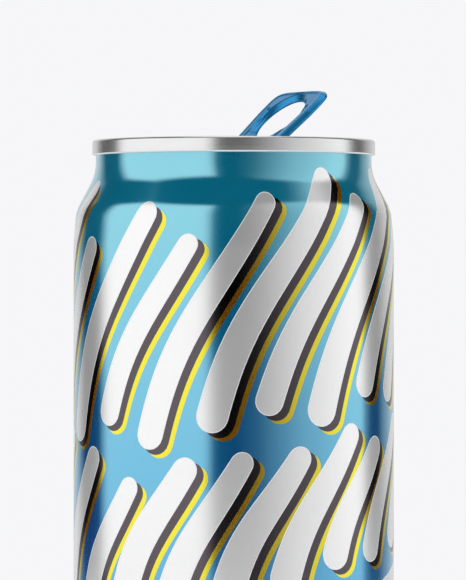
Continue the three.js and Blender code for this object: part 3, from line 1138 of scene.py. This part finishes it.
def flap():
    """Tear panel with a bead that follows its edge, swung down by its hinge."""
    outline = mouth_outline(FLAP_GAP)
    ring = inset_loop(outline, FLAP_BEAD_INSET)

    def top(flat, gaps):
        return ridge(distances(flat, ring), FLAP_BEAD_HALF, FLAP_BEAD_HEIGHT) + WALL / 2

    vertices, faces = relief_plate(
        outline, [], (0.1, 0.5, 1.0, 1.25, 1.5, 1.75, 2.0), spacing=0.6,
        top=top, bottom=lambda flat, gaps: top(flat, gaps) - WALL)
    moved = hinged(vertices - np.array([FLAP_HINGE.x, 0, 0]), FLAP_HINGE, FLAP_OPEN, "Y")
    panel = add_object("tear_panel_sheet", moved, faces, [LID_METAL])
    finish_piece(panel, "flap", "bare_aluminium", "tear_panel")


def rivet():
    """A head with a dimple on a stem, turned from (radius, height, fillet) corners."""
    profile = open_path([
        (0, 0.05), (1.5, 0.05), (1.5, 0.66, 0.05), (2.3, 0.66, 0.08), (2.3, 1.08, 0.22),
        (1.55, 1.14, 0.3), (1.15, 0.9, 0.2), (0, 0.82)], step=12)
    vertices, faces = lathe(profile, 96)
    moved = [(x, y + RIVET_Y, z + PANEL_TOP) for x, y, z in vertices]
    button = add_object("rivet_button", moved, faces, [LID_METAL])
    finish_piece(button, "can", "bare_aluminium", "rivet")


def tongue():
    """Rounded plate between the lid and the rivet's head."""
    outline = rounded_window(rear=6.3, front=1.15, half_width=2.9, fillet=1.2)
    hole = ellipse(TONGUE_HOLE_RADIUS, RIVET_Y, TONGUE_HOLE_RADIUS, 64)

    def half_thickness(gaps):
        return TONGUE_HALF * edge_round(gaps[0], TONGUE_HALF) * edge_round(gaps[1], 0.05)

    vertices, faces = relief_plate(
        outline, [hole], (0.02, 0.08, 0.16, 0.25), spacing=0.4,
        top=lambda flat, gaps: TONGUE_LEVEL + half_thickness(gaps),
        bottom=lambda flat, gaps: TONGUE_LEVEL - half_thickness(gaps))
    vertices = vertices + np.array([0, 0, PANEL_TOP])
    plate = add_object("tab_tongue", vertices, faces, [TAB_BLUE])
    finish_piece(plate, "can", "blue_tab", "tab_island")


flap()
rivet()
tongue()


# ---------------- pull tab

# Tab before it is lifted, with its hinge at y = 0 and the edge of its heel at y = TAB_LENGTH
TAB_LENGTH = 20.7
TAB_HALF_WIDTH = 8.5
HEEL_DEPTH = 6.3
HEEL_POWER = 0.4
HEEL_STEPS = 48
SIDE_TAPER = 0.098
NOSE_START = 3.0
NOSE_LENGTH = 6.9
NOSE_STEPS = 36
HOLE_Y = 13.0
HOLE_HALF_WIDTH = 5.05
HOLE_HALF_LENGTH = 5.4
HALF_THICKNESS = 0.6
THINNEST = 0.15
WINDOW_ROUND = 0.4
# Hollow underside between the curled edges
HOLLOW_HEIGHT = 0.45
HOLLOW_START = 1.25
HOLLOW_SLOPE = 0.45
# Two short grooves beside the side curls, which spread and deepen from foot to head
GROOVE_FOOT = 6.5
GROOVE_HEAD = 15.6
GROOVE_X = 5.15
GROOVE_SPREAD = 1.05
GROOVE_HALF = 0.5
GROOVE_DEPTH = 0.1
GROOVE_DEEPENING = 0.26
# Height of the tab's upper face by distance from its outer edge, and by distance from the finger hole
SIDE_GAPS = [0.0, 0.06, 0.12, 0.3, 0.5, 0.66, 0.8, 0.95, 1.15, 1.4]
SIDE_LEVELS = [-0.08, 0.0, 0.06, 0.24, 0.45, 0.58, 0.6, 0.6, 0.55, 0.51]
DIP_GAPS = [0.0, 0.06, 0.12, 0.3, 0.9, 1.1, 1.3, 1.5]
DIP_LEVELS = [-0.38, -0.26, -0.19, -0.05, 0.38, 0.49, 0.53, 0.6]


def tab_outline():
    """Square-shouldered heel and straight tapered sides that run into an elliptical nose."""
    heel_start = TAB_LENGTH - HEEL_DEPTH
    nose_half = TAB_HALF_WIDTH - SIDE_TAPER * (heel_start - NOSE_START)
    outline = []
    for i in range(HEEL_STEPS + 1):
        turn = math.pi * i / HEEL_STEPS
        across = math.copysign(abs(math.cos(turn)) ** HEEL_POWER, math.cos(turn))
        outline.append(Vector((
            TAB_HALF_WIDTH * across, heel_start + HEEL_DEPTH * abs(math.sin(turn)) ** HEEL_POWER)))
    for i in range(NOSE_STEPS + 1):
        turn = math.pi * (1 + i / NOSE_STEPS)
        outline.append(Vector((nose_half * math.cos(turn), NOSE_START + NOSE_LENGTH * math.sin(turn))))
    return as_array(resampled(without_repeats(outline), 0.3, closed=True))


def tab_groove(flat):
    """Depth of the two grooves: deepest at the heel end, fading to the nose."""
    length = GROOVE_HEAD - GROOVE_FOOT
    depth = np.zeros(len(flat))
    for side in (-1, 1):
        share = np.clip((flat[:, 1] - GROOVE_FOOT) / length, 0, 1)
        line = side * (GROOVE_X + GROOVE_SPREAD * share)
        gap = np.hypot(flat[:, 0] - line, flat[:, 1] - GROOVE_FOOT - length * share)
        depth = np.maximum(depth, ridge(gap, GROOVE_HALF, GROOVE_DEPTH + GROOVE_DEEPENING * share))
    return depth


def tab_top(flat, gaps):
    """Sloping side facet over a thin lip, a slightly sunk web, and a dip into the finger hole."""
    outer, hole, window = gaps
    side = np.interp(outer, SIDE_GAPS, SIDE_LEVELS)
    dip = np.interp(hole, DIP_GAPS, DIP_LEVELS)
    window_round = HALF_THICKNESS * (1 - edge_round(window, WINDOW_ROUND))
    return np.minimum(side, dip) - window_round - tab_groove(flat)


def tab_bottom(flat, gaps):
    """The curled edges reach the underside, and the web between them is hollow."""
    outer, hole, window = gaps
    level = HALF_THICKNESS - 0.3 * (1 - edge_round(outer, 0.3)) - 0.15 * (1 - edge_round(hole, 0.25))
    level = level - HALF_THICKNESS * (1 - edge_round(window, WINDOW_ROUND))
    inside = np.minimum(np.minimum(outer, hole + 0.2), window + 0.5)
    hollow = HOLLOW_HEIGHT * smooth_step((inside - HOLLOW_START) / HOLLOW_SLOPE)
    return np.minimum(hollow - level, tab_top(flat, gaps) - THINNEST * smooth_step(outer / 0.2))


def pull_tab():
    """The tab's ring, with the finger hole and the window that the tongue was cut from, turned up."""
    outline = tab_outline()
    hole = ellipse(HOLE_HALF_WIDTH, HOLE_Y, HOLE_HALF_LENGTH, 120)
    window = rounded_window(rear=6.9, front=0.8, half_width=3.4, fillet=1.4)
    rings = sorted(set(SIDE_GAPS[1:] + DIP_GAPS[1:-1]))
    vertices, faces = relief_plate(
        outline, [hole, window], rings, spacing=0.24, top=tab_top, bottom=tab_bottom)
    moved = hinged(vertices, TAB_HINGE, TAB_LIFT, "X")
    ring = add_object("tab_ring", moved, faces, [TAB_BLUE], sharp=50)
    finish_piece(ring, "tab", "blue_tab", "pull_tab")


pull_tab()

# The gasket ring stays as CAD made it, inside the seam
frame["nodes"]["seam_compound"].data.materials.clear()
frame["nodes"]["seam_compound"].data.materials.append(COMPOUND)
